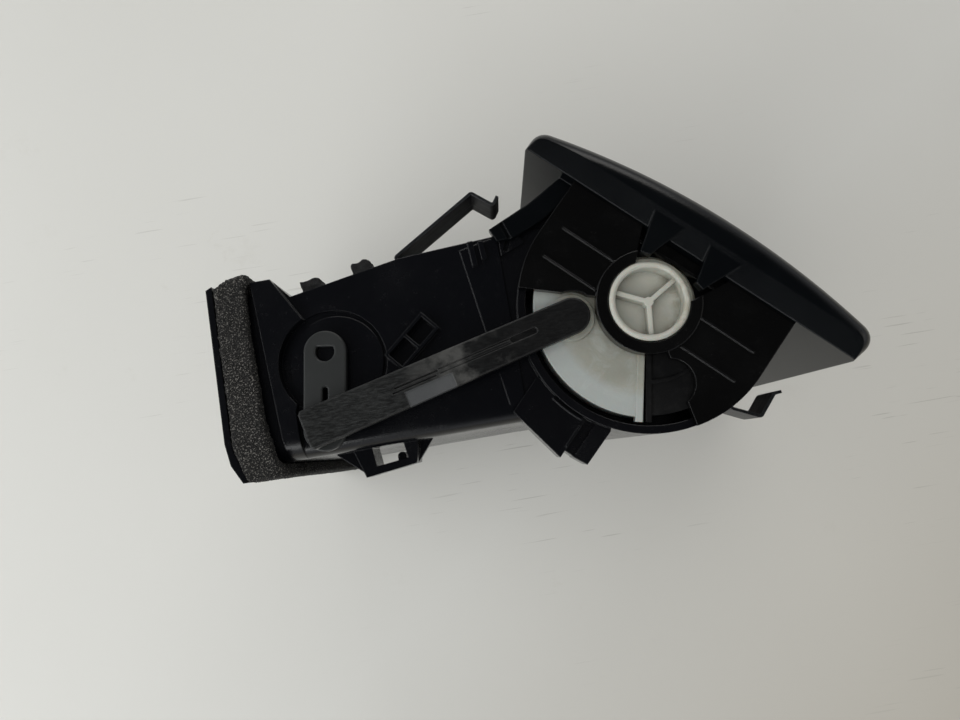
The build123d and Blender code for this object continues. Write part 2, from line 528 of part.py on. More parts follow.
with BuildPart() as thumb_wheel:
    with BuildSketch(head_plane(DECK + WHEEL_LIFT)):
        Circle(HUB_R)
        Circle(HUB_R - HUB_WALL, mode=Mode.SUBTRACT)
        Circle(BORE_R + BORE_WALL)
        Circle(BORE_R, mode=Mode.SUBTRACT)
    extrude(amount=WHEEL_TOP - WEB - DECK - WHEEL_LIFT)
    with BuildSketch(head_plane(WHEEL_TOP - WEB)):
        Circle(FLANGE_R)
        add(ring_segment(FLANGE_R - 1, WHEEL_R, *[head_angle(a) for a in SECTOR]))
    extrude(amount=WEB)
    with BuildSketch(head_plane(WHEEL_TOP)):
        Circle(SHOULDER_R)
        Circle(HUB_R - HUB_WALL, mode=Mode.SUBTRACT)
    extrude(amount=SHOULDER_TOP - WHEEL_TOP)
    # hub ring with three spokes
    with BuildSketch(head_plane(WHEEL_TOP)):
        Circle(HUB_R)
        Circle(HUB_R - HUB_WALL, mode=Mode.SUBTRACT)
    extrude(amount=HUB_TOP - WHEEL_TOP)
    chamfer(thumb_wheel.edges().group_by(Axis.Z)[-1], length=RIM_CHAMFER)
    with BuildSketch(head_plane(WHEEL_TOP)):
        for angle in SPOKES:
            with Locations(Location((0, 0), head_angle(angle))):
                Rectangle(HUB_R - HUB_WALL / 2, SPOKE_WIDTH, align=(Align.MIN, Align.CENTER))
        Circle(SPOKE_BOSS_R)
    extrude(amount=SPOKE_RISE)
    # skirt and the rib that ends the sector
    with BuildSketch(head_plane(SKIRT_BOTTOM)):
        add(ring_segment(WHEEL_R - 2, WHEEL_R, *[head_angle(a) for a in SECTOR]))
        for start in (SECTOR[0], SECTOR[1] - SKIRT_END):
            add(ring_segment(FLANGE_R, WHEEL_R, head_angle(start), head_angle(start + SKIRT_END)))
    extrude(amount=WHEEL_TOP - WEB - SKIRT_BOTTOM)
    with BuildSketch(head_plane(WHEEL_TOP)):
        with Locations(Location((0, 0), head_angle(SECTOR[1]))):
            with Locations((FLANGE_R, 0)):
                Rectangle(END_RIB_R - FLANGE_R, END_RIB, align=(Align.MIN, Align.MAX))
    extrude(amount=END_RIB_RISE)
    with BuildSketch(head_plane(WHEEL_TOP - WEB)):
        with Locations(Location((0, 0), head_angle(SECTOR[1]))):
            with Locations((WHEEL_R - 1, 0)):
                Rectangle(END_RIB_R - WHEEL_R + 1, END_RIB, align=(Align.MIN, Align.MAX))
    extrude(amount=WEB)
    # crank boss and pin
    with BuildSketch(head_plane(WHEEL_TOP)):
        with Locations(CRANK):
            Circle(CRANK_BOSS_R)
    extrude(amount=ROD_BOTTOM - GAP - WHEEL_TOP)
    with BuildSketch(head_plane(WHEEL_TOP)):
        with Locations(CRANK):
            Circle(CRANK_PIN_R)
    extrude(amount=ROD_TOP - ROD_SKIN - GAP - WHEEL_TOP)
save(thumb_wheel, "thumb_wheel")

GRIP_WEB_R = FLANGE_R + 0.05
GRIP_WEB = (-101.5, 108.0)      # the grip's web runs on under the cover's opening
GRIP_TOP = 51.0
RIB_STEP = 6
FLUTE_R, FLUTE_OUT = 1.0, 0.4   # flutes round the rim, and how far out their centres lie
GRIP_END_RIB = 1.4
ROUND_RIB = (18.8, 19.6)        # curved rib on the grip's web
with BuildPart() as wheel_grip:
    with BuildSketch(head_plane(WHEEL_TOP - WEB)):
        add(ring_segment(GRIP_WEB_R, WHEEL_R - 0.5, *[head_angle(a) for a in GRIP_WEB]))
    extrude(amount=WEB - 0.4)
    # end rib and a round rib on the web
    with BuildSketch(head_plane(WHEEL_TOP - WEB)):
        with Locations(Location((0, 0), head_angle(GRIP_WEB[0]))):
            with Locations((GRIP_WEB_R + 0.3, 0)):
                Rectangle(END_RIB_R - GRIP_WEB_R - 0.3, GRIP_END_RIB, align=(Align.MIN, Align.MIN))
        add(ring_segment(*ROUND_RIB, head_angle(GRIP_WEB[0] + 2), head_angle(GRIP[0])))
    extrude(amount=WEB)
    with BuildSketch(head_plane(SKIRT_BOTTOM)):
        add(ring_segment(WHEEL_R - 2.5, GRIP_R, *[head_angle(a) for a in GRIP]))
        for angle in range(int(GRIP[0]) + 6, int(GRIP[1]) - 3, RIB_STEP):
            with Locations(polar(GRIP_R + FLUTE_OUT, head_angle(angle))):
                Circle(FLUTE_R, mode=Mode.SUBTRACT)
    extrude(amount=GRIP_TOP - SKIRT_BOTTOM)
save(wheel_grip, "wheel_grip")

with BuildPart() as wheel_spindle:
    with BuildSketch(head_plane(DECK)):
        Circle(BORE_R - PIN_FIT)
    extrude(amount=WHEEL_TOP - WEB - DECK - GAP)
    chamfer(wheel_spindle.edges().group_by(Axis.Z)[-1], length=RIM_CHAMFER)
save(wheel_spindle, "wheel_spindle")

# ---------------------------------------------------------------- link rod
LEVER_PIN_R = 1.4
LOST_MOTION = 4.9               # length the lever pin may slide towards the crank
SIDE_PLAY = 1.3
POCKET_DEPTH = 2.0
ROD_HEEL = 4.6                  # rod's end beyond the lever pin
ROD_FLARE = 0.9                 # how much wider the rod is at that end, on its lower side
ROD_CORNER = 0.8
PATCH = (38.65, 3.6)            # sunk patch on the upper face: centre from the crank pin
PATCH_SIZE = (12.5, 4.4)
ROD_SLOT, ROD_SLOT_SIZE = (12.8, -0.2), (7.2, 1.6)
DEEP_LINES = [(41.0, -0.5, 11.5, 0.5), (41.8, 0.5, 11.5, 0.4)]      # place, length and width
FINE_LINES = [(25.5, -0.7, 19.0, 0.45), (25.5, 0.4, 19.0, 0.35)]
DEEP, SHALLOW = 0.7, 0.3
POCKET_END = 0.6                # room past the lever pin, towards the heel
rod_origin = head_plane(ROD_BOTTOM).from_local_coords((CRANK[0], CRANK[1], 0))
ROD_DIRECTION = (cos(radians(ROD_ANGLE)), sin(radians(ROD_ANGLE)), 0)


def rod_plane(z):
    """Plane at height z with x from the crank pin towards the lever pin."""
    return Plane(origin=(rod_origin.X, rod_origin.Y, z), x_dir=ROD_DIRECTION, z_dir=(0, 0, 1))


with BuildPart() as link_rod:
    with BuildSketch(rod_plane(ROD_BOTTOM)):
        Circle(ROD_WIDTH / 2 - 0.1)
        heel = ROD_LENGTH + ROD_HEEL
        upper, lower = -ROD_WIDTH / 2 - 0.1, ROD_WIDTH / 2 + ROD_FLARE
        Polygon((0, -ROD_WIDTH / 2 + 0.1), (heel - ROD_CORNER, upper), (heel, upper + ROD_CORNER),
                (heel, lower - ROD_CORNER), (heel - ROD_CORNER, lower), (0, ROD_WIDTH / 2 - 0.1),
                align=None)
    extrude(amount=ROD_TOP - ROD_BOTTOM)
    chamfer(link_rod.edges().group_by(Axis.Z)[-1], length=0.35)
    with BuildSketch(rod_plane(ROD_BOTTOM - 1)):
        Circle(CRANK_PIN_R + PIN_FIT)
    extrude(amount=ROD_TOP - ROD_SKIN - ROD_BOTTOM + 1, mode=Mode.SUBTRACT)
    # blind pocket for the lever pin, open underneath
    with BuildSketch(rod_plane(ROD_BOTTOM - 1)):
        with BuildLine():
            half = LEVER_PIN_R + SIDE_PLAY + GAP
            Polyline((ROD_LENGTH - LOST_MOTION - LEVER_PIN_R - GAP, -half),
                     (ROD_LENGTH + LEVER_PIN_R + POCKET_END, -half),
                     (ROD_LENGTH + LEVER_PIN_R + POCKET_END, half),
                     (ROD_LENGTH - LOST_MOTION - LEVER_PIN_R - GAP, half), close=True)
        make_face()
    extrude(amount=1 + POCKET_DEPTH, mode=Mode.SUBTRACT)
    # shallow moulded recesses on the upper face
    with BuildSketch(rod_plane(ROD_TOP - DEEP)):
        with Locations(ROD_SLOT):
            SlotOverall(*ROD_SLOT_SIZE)
        for along, aside, length, width in DEEP_LINES:
            with Locations((along, aside)):
                Rectangle(length, width)
    extrude(amount=2 * DEEP, mode=Mode.SUBTRACT)
    with BuildSketch(rod_plane(ROD_TOP - SHALLOW)):
        for along, aside, length, width in FINE_LINES:
            with Locations((along, aside)):
                Rectangle(length, width)
        with Locations(PATCH):
            Rectangle(*PATCH_SIZE)
    extrude(amount=2 * SHALLOW, mode=Mode.SUBTRACT)
save(link_rod, "link_rod")

# ---------------------------------------------------------------- shut-off flap
LEVER_BOTTOM, LEVER_TOP = 51.2, 53.4
LEVER_END_R = 5.3
SHAFT_R = 3.0
D_R = 2.35
D_FLAT = 1.3                    # the shaft end's flat, off the axis
LEVER_TOE = 1.4                 # how far the lever runs on past its pin
LEVER_SLOT, LEVER_SLOT_SIZE = (12.0, 0.1), (6.2, 1.3)
SHAFT_STEP = 0.4                # gap between the lever and the shaft's shoulder
SHAFT_END = 1.0                 # length of the shaft's D-shaped end
FLAP_REACH = (-19.0, 31.6)      # flap ends along its own line, seal included
SEAL = 1.4
FLAP_HALF_WIDTH = 47.4


def lever_plane(z):
    """Plane at height z with x from the flap's axis along the lever."""
    return Plane(origin=(FLAP_X, FLAP_Y, z), z_dir=(0, 0, 1),
                 x_dir=(cos(radians(LEVER_ANGLE)), sin(radians(LEVER_ANGLE)), 0))


def flap_plane(z):
    """Plane at height z with x along the closed flap."""
    return Plane(origin=(FLAP_X, FLAP_Y, z), z_dir=(0, 0, 1),
                 x_dir=(cos(radians(FLAP_SLOPE)), sin(radians(FLAP_SLOPE)), 0))


def d_section(radius, flat):
    """Round section with one flat, on the side away from the lever."""
    with BuildSketch() as section:
        Circle(radius)
        with Locations((-flat, 0)):
            Rectangle(radius, 2 * radius, align=(Align.MAX, Align.CENTER), mode=Mode.SUBTRACT)
    return section.sketch


with BuildPart() as flap_lever:
    with BuildSketch(lever_plane(LEVER_BOTTOM)):
        with Locations(((LEVER_R + LEVER_TOE) / 2, 0)):
            SlotCenterToCenter(LEVER_R + LEVER_TOE, 2 * LEVER_END_R)
        add(d_section(D_R + 0.02, D_FLAT + 0.02), mode=Mode.SUBTRACT)
        with Locations(LEVER_SLOT):
            SlotOverall(*LEVER_SLOT_SIZE, mode=Mode.SUBTRACT)
    extrude(amount=LEVER_TOP - LEVER_BOTTOM)
    chamfer(flap_lever.edges().group_by(Axis.Z)[-1], length=0.3)
    with BuildSketch(lever_plane(LEVER_TOP)):
        with Locations((LEVER_R, 0)):
            Circle(LEVER_PIN_R)
    extrude(amount=ROD_BOTTOM + POCKET_DEPTH - GAP - LEVER_TOP)
save(flap_lever, "flap_lever")

with BuildPart() as flap_shaft:
    with BuildSketch(lever_plane(-DUCT_HALF_WIDTH)):
        Circle(SHAFT_R)
    extrude(amount=LEVER_BOTTOM - SHAFT_STEP + DUCT_HALF_WIDTH)
    with BuildSketch(lever_plane(LEVER_BOTTOM - SHAFT_STEP)):
        add(d_section(D_R, D_FLAT))
    extrude(amount=SHAFT_END)
save(flap_shaft, "flap_shaft")

FLAP_PLATE = 2.0
FLAP_HUB = 1.4                  # wall round the shaft
HUB_END = 0.9                   # the hub's ends stay short of the bearings
FLAP_RIB, FLAP_RIB_Z = 1.6, 20.0
FLAP_RIB_MIDDLE, FLAP_RIB_SIZE = 16.0, (22.0, 2.0)
with BuildPart() as damper_flap:
    with BuildSketch(flap_plane(-FLAP_HALF_WIDTH + SEAL)):
        with BuildLine():
            low, high = FLAP_REACH[0] + SEAL, FLAP_REACH[1] - SEAL
            Polyline((low, -FLAP_PLATE / 2), (high, -FLAP_PLATE / 2), (high, FLAP_PLATE / 2),
                     (low, FLAP_PLATE / 2), close=True)
        make_face()
        Circle(SHAFT_R + FLAP_HUB)
        Circle(SHAFT_R, mode=Mode.SUBTRACT)
    extrude(amount=2 * (FLAP_HALF_WIDTH - SEAL))
    # stiffening ribs on the upstream face
    for height in (-FLAP_RIB_Z, FLAP_RIB_Z):
        with BuildSketch(flap_plane(height - FLAP_RIB / 2)):
            with Locations((FLAP_RIB_MIDDLE, -FLAP_PLATE / 2)):
                Rectangle(*FLAP_RIB_SIZE, align=(Align.CENTER, Align.MAX))
        extrude(amount=FLAP_RIB)
    for side in (-1, 1):
        with BuildSketch(flap_plane(side * (FLAP_HALF_WIDTH - SEAL))):
            Circle(BUSH_R + 2)
        extrude(amount=-side * HUB_END, mode=Mode.SUBTRACT)
save(damper_flap, "damper_flap")

flap_edge = Plane(origin=(FLAP_X, FLAP_Y, 0), x_dir=(0, 0, 1),
                  z_dir=(-sin(radians(FLAP_SLOPE)), cos(radians(FLAP_SLOPE)), 0))
with BuildPart() as flap_seal:
    with BuildSketch(flap_edge.offset(-FLAP_PLATE / 2)):
        middle = (FLAP_REACH[0] + FLAP_REACH[1]) / 2
        span = FLAP_REACH[1] - FLAP_REACH[0]
        with Locations((0, middle)):
            Rectangle(2 * FLAP_HALF_WIDTH, span)
            Rectangle(2 * (FLAP_HALF_WIDTH - SEAL), span - 2 * SEAL, mode=Mode.SUBTRACT)
        Rectangle(2 * FLAP_HALF_WIDTH, 2 * (BUSH_R + 2), mode=Mode.SUBTRACT)
    extrude(amount=FLAP_PLATE)
save(flap_seal, "flap_seal")


BUSH_FLANGE, BUSH_FLANGE_DEPTH = 1.2, 1.6


def flap_bush(side):
    """Flanged bearing bush in one side wall of the duct; side is +1 near, -1 far."""
    with BuildPart() as bush:
        with BuildSketch(Plane.XY.offset(side * (DUCT_HALF_WIDTH - WALL))):
            with Locations((FLAP_X, FLAP_Y)):
                Circle(BUSH_R)
                Circle(SHAFT_R + PIN_FIT, mode=Mode.SUBTRACT)
        extrude(amount=side * WALL)
        with BuildSketch(Plane.XY.offset(side * (DUCT_HALF_WIDTH - WALL))):
            with Locations((FLAP_X, FLAP_Y)):
                Circle(BUSH_R + BUSH_FLANGE)
                Circle(SHAFT_R + PIN_FIT, mode=Mode.SUBTRACT)
        extrude(amount=-side * BUSH_FLANGE_DEPTH)
    return bush


save(flap_bush(1), "flap_bush_near")
save(flap_bush(-1), "flap_bush_far")

# ---------------------------------------------------------------- front vanes
STRIP = 2.5                     # thickness of the bearing strips
FRONT_CHORD = 15.0
FRONT_THICK = 2.2
FRONT_NEAR_END = AIR_NEAR - STRIP - GAP
FRONT_FAR_END = AIR_FAR + STRIP + 2.9
FRONT_PIN_R = 1.5
FRONT_CRANK = -6.0              # tie bar line, behind the pivots
FRONT_CRANK_R = 0.9
TIE = 1.6
front_places = [(i - (FRONT_COUNT - 1) / 2) * FRONT_PITCH for i in range(FRONT_COUNT)]

for index, place in enumerate(front_places, start=1):
    with BuildPart() as front_vane:
        with BuildSketch(head_plane(FRONT_FAR_END)):
            with Locations(Location((place, FRONT_AXIS), 90)):
                SlotOverall(FRONT_CHORD, FRONT_THICK)
                Circle(FRONT_PIN_R + 0.1)
        extrude(amount=FRONT_NEAR_END - FRONT_FAR_END)
        with BuildSketch(head_plane(AIR_FAR + 0.2)):
            with Locations((place, FRONT_AXIS)):
                Circle(FRONT_PIN_R)
        extrude(amount=AIR_NEAR - AIR_FAR - 0.4)
        with BuildSketch(head_plane(AIR_FAR + STRIP + 0.4)):
            with Locations((place, FRONT_AXIS + FRONT_CRANK)):
                Circle(FRONT_CRANK_R)
        extrude(amount=FRONT_FAR_END - AIR_FAR - STRIP)
    save(front_vane, f"front_vane_{index}")

with BuildPart() as front_tie_bar:
    with BuildSketch(head_plane(FRONT_FAR_END - 0.4 - TIE)):
        with Locations((0, FRONT_AXIS + FRONT_CRANK)):
            SlotOverall(2 * front_places[-1] + 4.2, 3.4)
        for place in front_places:
            with Locations((place, FRONT_AXIS + FRONT_CRANK)):
                Circle(FRONT_CRANK_R + PIN_FIT, mode=Mode.SUBTRACT)
    extrude(amount=TIE)
save(front_tie_bar, "front_tie_bar")

for name, low in (("vane_strip_near", AIR_NEAR - STRIP), ("vane_strip_far", AIR_FAR)):
    with BuildPart() as strip:
        with BuildSketch(head_plane(low)):
            with Locations((0, FRONT_AXIS)):
                Rectangle(2 * (DRUM_R - WALL), 5.0)
            for place in front_places:
                with Locations((place, FRONT_AXIS)):
                    Circle(FRONT_PIN_R + PIN_FIT, mode=Mode.SUBTRACT)
        extrude(amount=STRIP)
    save(strip, name)

# ---------------------------------------------------------------- rear vanes
REAR_CHORD = (-7.0, 10.0)       # behind and ahead of the pivot
REAR_THICK = 1.8
REAR_STRIP = 24.7               # inner face of the strips, from the outlet's middle
REAR_HIGH_END = REAR_STRIP - GAP
REAR_LOW_END = -REAR_STRIP + 2.4
REAR_PIN_R = 1.2
REAR_CRANK = -5.5
REAR_CRANK_R = 0.8
DRIVE_BAR = 9.0                 # round bar that the knob's fork drives, ahead of the pivot
DRIVE_BAR_R = 1.0
FORK_WINDOW = 11.5              # half length of the window round the drive bar
rear_places = [MIDDLE_Z + (i - (REAR_COUNT - 1) / 2) * REAR_PITCH for i in range(REAR_COUNT)]


def rear_point(z, ahead):
    """Point of an across_plane sketch: height z, distance ahead of the rear pivot line."""
    return (z, -(REAR_AXIS + ahead))


for index, place in enumerate(rear_places, start=1):
    driven = index == (REAR_COUNT + 1) // 2
    with BuildPart() as rear_vane:
        with BuildSketch(across_plane(REAR_LOW_END)):
            with Locations(rear_point(place, sum(REAR_CHORD) / 2)):
                RectangleRounded(REAR_THICK, REAR_CHORD[1] - REAR_CHORD[0], REAR_THICK / 2 - 0.01)
            with Locations(rear_point(place, 0)):
                Circle(REAR_PIN_R + 0.2)
        extrude(amount=REAR_HIGH_END - REAR_LOW_END)
        if driven:
            with BuildSketch(across_plane(-FORK_WINDOW)):
                with Locations(rear_point(place, (3.0 + REAR_CHORD[1] + 1) / 2)):
                    Rectangle(2 * REAR_THICK, REAR_CHORD[1] + 1 - 3.0)
            extrude(amount=2 * FORK_WINDOW, mode=Mode.SUBTRACT)
            with BuildSketch(across_plane(-FORK_WINDOW - 1)):
                with Locations(rear_point(place, DRIVE_BAR)):
                    Circle(DRIVE_BAR_R)
            extrude(amount=2 * FORK_WINDOW + 2)
        with BuildSketch(across_plane(-REAR_STRIP - STRIP + 0.1)):
            with Locations(rear_point(place, 0)):
                Circle(REAR_PIN_R)
        extrude(amount=2 * (REAR_STRIP + STRIP - 0.1))
        with BuildSketch(across_plane(-REAR_STRIP + GAP)):
            with Locations(rear_point(place, REAR_CRANK)):
                Circle(REAR_CRANK_R)
        extrude(amount=REAR_LOW_END + REAR_STRIP)
    save(rear_vane, f"rear_vane_{index}")

with BuildPart() as rear_tie_bar:
    with BuildSketch(across_plane(REAR_LOW_END - 0.4 - TIE + 0.2)):
        with Locations(rear_point(MIDDLE_Z, REAR_CRANK)):
            SlotOverall(rear_places[-1] - rear_places[0] + 3.8, 3.0)
        for place in rear_places:
            with Locations(rear_point(place, REAR_CRANK)):
                Circle(REAR_CRANK_R + PIN_FIT, mode=Mode.SUBTRACT)
    extrude(amount=TIE - 0.2)
save(rear_tie_bar, "rear_tie_bar")

for name, low in (("swing_strip_upper", -REAR_STRIP - STRIP), ("swing_strip_lower", REAR_STRIP)):
    with BuildPart() as strip:
        with BuildSketch(across_plane(low)):
            with Locations(rear_point(MIDDLE_Z, 0)):
                Rectangle(AIR_NEAR - AIR_FAR, 5.0)
            for place in rear_places:
                with Locations(rear_point(place, 0)):
                    Circle(REAR_PIN_R + PIN_FIT, mode=Mode.SUBTRACT)
        extrude(amount=STRIP)
    save(strip, name)

# ---------------------------------------------------------------- slider knob
KNOB_LENGTH = 16.0
KNOB_HALF = 3.2                 # half thickness, across the outlet
KNOB_BACK, KNOB_FRONT = 2.8, 22.6
FORK_END = -5.0
PRONG = 1.6
PRONG_HALF = 2.0

with BuildPart() as slider_knob:
    with BuildSketch(head_plane(MIDDLE_Z - KNOB_LENGTH / 2)):
        with Locations((0, (KNOB_BACK + KNOB_FRONT) / 2)):
            RectangleRounded(2 * KNOB_HALF, KNOB_FRONT - KNOB_BACK, 1.4)
        with Locations(Location((0, FRONT_AXIS), 90)):
            SlotOverall(FRONT_CHORD + 2 * GAP, FRONT_THICK + 2 * GAP, mode=Mode.SUBTRACT)
            Circle(FRONT_PIN_R + 0.1 + GAP, mode=Mode.SUBTRACT)
    extrude(amount=KNOB_LENGTH)
    for side in (-1, 1):
        offset_z = side * (DRIVE_BAR_R + 0.35 + PRONG / 2)
        with BuildSketch(head_plane(MIDDLE_Z + offset_z - PRONG / 2)):
            with BuildLine():
                Polyline((-PRONG_HALF, FORK_END), (PRONG_HALF, FORK_END),
                         (PRONG_HALF, KNOB_BACK + 0.8), (-PRONG_HALF, KNOB_BACK + 0.8), close=True)
            make_face()
        extrude(amount=PRONG)
save(slider_knob, "slider_knob")

with BuildPart() as knob_grip:
    with BuildSketch(head_plane(MIDDLE_Z - KNOB_LENGTH / 2 + 1.5)):
        with Locations((0, KNOB_FRONT)):
            Rectangle(2 * KNOB_HALF - 2, 0.9, align=(Align.CENTER, Align.MIN))
    extrude(amount=KNOB_LENGTH - 3)
    with BuildSketch(outlet_plane(KNOB_FRONT + 0.5)):
        for step in range(-2, 3):
            with Locations((0, MIDDLE_Z + step * 2.4)):
                Rectangle(2 * KNOB_HALF, 0.9)
    extrude(amount=1, mode=Mode.SUBTRACT)
save(knob_grip, "knob_grip")
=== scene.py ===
import json
from math import cos, radians, sin

import bmesh
import bpy
from mathutils import Matrix, Vector, noise


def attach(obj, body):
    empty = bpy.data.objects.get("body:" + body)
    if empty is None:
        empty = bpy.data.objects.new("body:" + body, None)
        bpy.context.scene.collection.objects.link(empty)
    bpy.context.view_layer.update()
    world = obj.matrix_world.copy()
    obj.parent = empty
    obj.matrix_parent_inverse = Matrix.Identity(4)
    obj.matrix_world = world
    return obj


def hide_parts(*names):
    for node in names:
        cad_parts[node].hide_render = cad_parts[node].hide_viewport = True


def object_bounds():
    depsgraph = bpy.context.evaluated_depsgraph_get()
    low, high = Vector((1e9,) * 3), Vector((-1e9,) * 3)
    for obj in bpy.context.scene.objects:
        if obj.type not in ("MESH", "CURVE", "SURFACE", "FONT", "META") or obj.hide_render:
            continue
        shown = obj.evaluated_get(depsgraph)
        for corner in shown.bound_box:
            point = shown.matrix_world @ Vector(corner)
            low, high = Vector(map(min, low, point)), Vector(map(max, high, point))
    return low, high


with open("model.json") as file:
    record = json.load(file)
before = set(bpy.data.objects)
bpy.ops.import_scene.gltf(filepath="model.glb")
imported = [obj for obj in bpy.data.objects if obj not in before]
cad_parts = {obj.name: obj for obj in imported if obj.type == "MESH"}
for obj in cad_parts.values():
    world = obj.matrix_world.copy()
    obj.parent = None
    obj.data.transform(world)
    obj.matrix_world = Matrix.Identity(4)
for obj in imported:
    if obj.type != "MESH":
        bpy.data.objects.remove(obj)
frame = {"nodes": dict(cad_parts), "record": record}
cad_low, cad_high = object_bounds()

MM = 0.001

# ------------------------------------------------------------------ measures from the frame
joints = {joint["name"]: joint for joint in frame["record"]["behaviour"]["joints"]}
WHEEL_AXIS = Vector(joints["wheel_turn"]["pos_m"])
CRANK_PIN = Vector(joints["rod_swing"]["pos_m"])
FLOOR = cad_low.z

# places on the link rod, from its crank pin towards the lever; a pair is a mark's fade, end to end
ROD_TURN = radians(193.4)       # the rod's direction at rest, from +X
HEEL = (18 * MM, 52 * MM)
PATCH_MID, PATCH_HALF = 38.65 * MM, 6.25 * MM
PATCH_EDGE = (1.2 * MM, 1.4 * MM)       # aside from the rod's middle line
CHALK_MID, CHALK_REACH = 29 * MM, (4 * MM, 16 * MM)

# places on the thumbwheel, out from its axis
HUB_EDGE = (9.5 * MM, 11.2 * MM)
OUTER_BAND = (21 * MM, 23.5 * MM)
GRUBBY_SIDE = (1 * MM, 9 * MM)  # along +X

# ------------------------------------------------------------------ camera
CAMERA_PLACE = Vector((66.5, -28.2, 230.0)) * MM
CAMERA_FORWARD = Vector((-0.0056, 0.1294, -0.9916))
CAMERA_RIGHT = Vector((0.9853, -0.1684, -0.0275))
CAMERA_LENS, SENSOR_WIDTH = 27.04, 36   # millimetres
CLIP_START = 5 * MM


def make_camera():
    right = (CAMERA_RIGHT - CAMERA_FORWARD * CAMERA_RIGHT.dot(CAMERA_FORWARD)).normalized()
    back = -CAMERA_FORWARD.normalized()
    up = back.cross(right)
    data = bpy.data.cameras.new("camera")
    data.lens = CAMERA_LENS
    data.sensor_width = SENSOR_WIDTH
    data.clip_start = CLIP_START
    camera = bpy.data.objects.new("camera", data)
    bpy.context.scene.collection.objects.link(camera)
    turn = Matrix((right, up, back)).transposed().to_4x4()
    camera.matrix_world = Matrix.Translation(CAMERA_PLACE) @ turn
    bpy.context.scene.camera = camera


# ------------------------------------------------------------------ material helpers
MIX_A, MIX_B, MIX_RESULT = 6, 7, 2      # a Mix node's colour sockets
RAYS = 6                        # that a bevel or occlusion node sends out


class Nodes:
    """A short way to build one material's node tree."""

    def __init__(self, name):
        self.material = bpy.data.materials.new(name)
        self.material.use_nodes = True
        self.tree = self.material.node_tree
        self.tree.nodes.clear()
        output = self.tree.nodes.new("ShaderNodeOutputMaterial")
        self.shader = self.tree.nodes.new("ShaderNodeBsdfPrincipled")
        self.tree.links.new(self.shader.outputs[0], output.inputs[0])
        self.place = self.tree.nodes.new("ShaderNodeTexCoord").outputs["Object"]

    def add(self, kind, inputs=(), **settings):
        """A node with its settings, and inputs given as (socket, value or output) pairs."""
        node = self.tree.nodes.new(kind)
        for key, value in settings.items():
            setattr(node, key, value)
        for socket, value in inputs:
            self.put(node, socket, value)
        return node

    def put(self, node, socket, value):
        if isinstance(value, bpy.types.NodeSocket):
            self.tree.links.new(value, node.inputs[socket])
        else:
            node.inputs[socket].default_value = value

    def stretched(self, size, turn=0.0):
        """Object coordinates turned about Z, then scaled per axis."""
        node = self.add("ShaderNodeMapping", [("Vector", self.place), ("Rotation", (0, 0, turn)),
                                              ("Scale", size)])
        return node.outputs[0]

    def noise(self, scale, detail=3.0, roughness=0.55, place=None, distortion=0.0):
        node = self.add("ShaderNodeTexNoise", [
            ("Vector", place or self.place), ("Scale", scale), ("Detail", detail),
            ("Roughness", roughness), ("Distortion", distortion)])
        return node.outputs["Fac"]

    def cells(self, scale):
        node = self.add("ShaderNodeTexVoronoi", [("Vector", self.place), ("Scale", scale)])
        return node.outputs["Distance"]

    def spread(self, value, low, high, to_low=0.0, to_high=1.0):
        """Value mapped from low..high to to_low..to_high, and held at the ends."""
        node = self.add("ShaderNodeMapRange", [
            ("Value", value), ("From Min", low), ("From Max", high), ("To Min", to_low),
            ("To Max", to_high)])
        return node.outputs[0]

    def maths(self, operation, first, second=0.0):
        node = self.add("ShaderNodeMath", [(0, first), (1, second)], operation=operation)
        return node.outputs[0]

    def times(self, first, second):
        return self.maths("MULTIPLY", first, second)

    def near(self, value, middle, low, high):
        """1 within low of the middle, falling to 0 at high."""
        away = self.maths("ABSOLUTE", self.maths("SUBTRACT", value, middle))
        return self.spread(away, low, high, 1.0, 0.0)

    def vector(self, operation, first, second=(0, 0, 0)):
        return self.add("ShaderNodeVectorMath", [(0, first), (1, second)], operation=operation)

    def mix(self, factor, first, second):
        """Colour between first and second."""
        node = self.add("ShaderNodeMix", [("Factor", factor)], data_type="RGBA")
        for socket, value in ((MIX_A, first), (MIX_B, second)):
            if isinstance(value, tuple):
                value = (*value, 1.0)
            self.put(node, socket, value)
        return node.outputs[MIX_RESULT]

    def rounded(self, radius):
        """The normal of the surface with its sharp edges rounded."""
        return self.add("ShaderNodeBevel", [("Radius", radius)], samples=RAYS).outputs[0]

    def edges(self, radius, low=0.02, high=0.25):
        """Near 1 along sharp edges, and the rounded normal that goes with them."""
        rounded = self.rounded(radius)
        flat = self.add("ShaderNodeNewGeometry").outputs["Normal"]
        dot = self.vector("DOT_PRODUCT", rounded, flat).outputs["Value"]
        return self.spread(self.maths("SUBTRACT", 1.0, dot), low, high), rounded

    def bump(self, height, distance, strength=1.0, normal=None):
        node = self.add("ShaderNodeBump", [("Height", height), ("Distance", distance),
                                           ("Strength", strength)])
        if normal is not None:
            self.put(node, "Normal", normal)
        return node.outputs[0]

    def finish(self, colour, roughness, normal=None, **constants):
        """The material; constants are set on the shader's own sockets, _ for a space."""
        self.put(self.shader, "Base Color", colour)
        self.put(self.shader, "Roughness", roughness)
        if normal is not None:
            self.put(self.shader, "Normal", normal)
        for name, value in constants.items():
            self.shader.inputs[name.replace("_", " ")].default_value = value
        return self.material


# ------------------------------------------------------------------ materials
DUST_FLECK = (0.22, 0.215, 0.2)


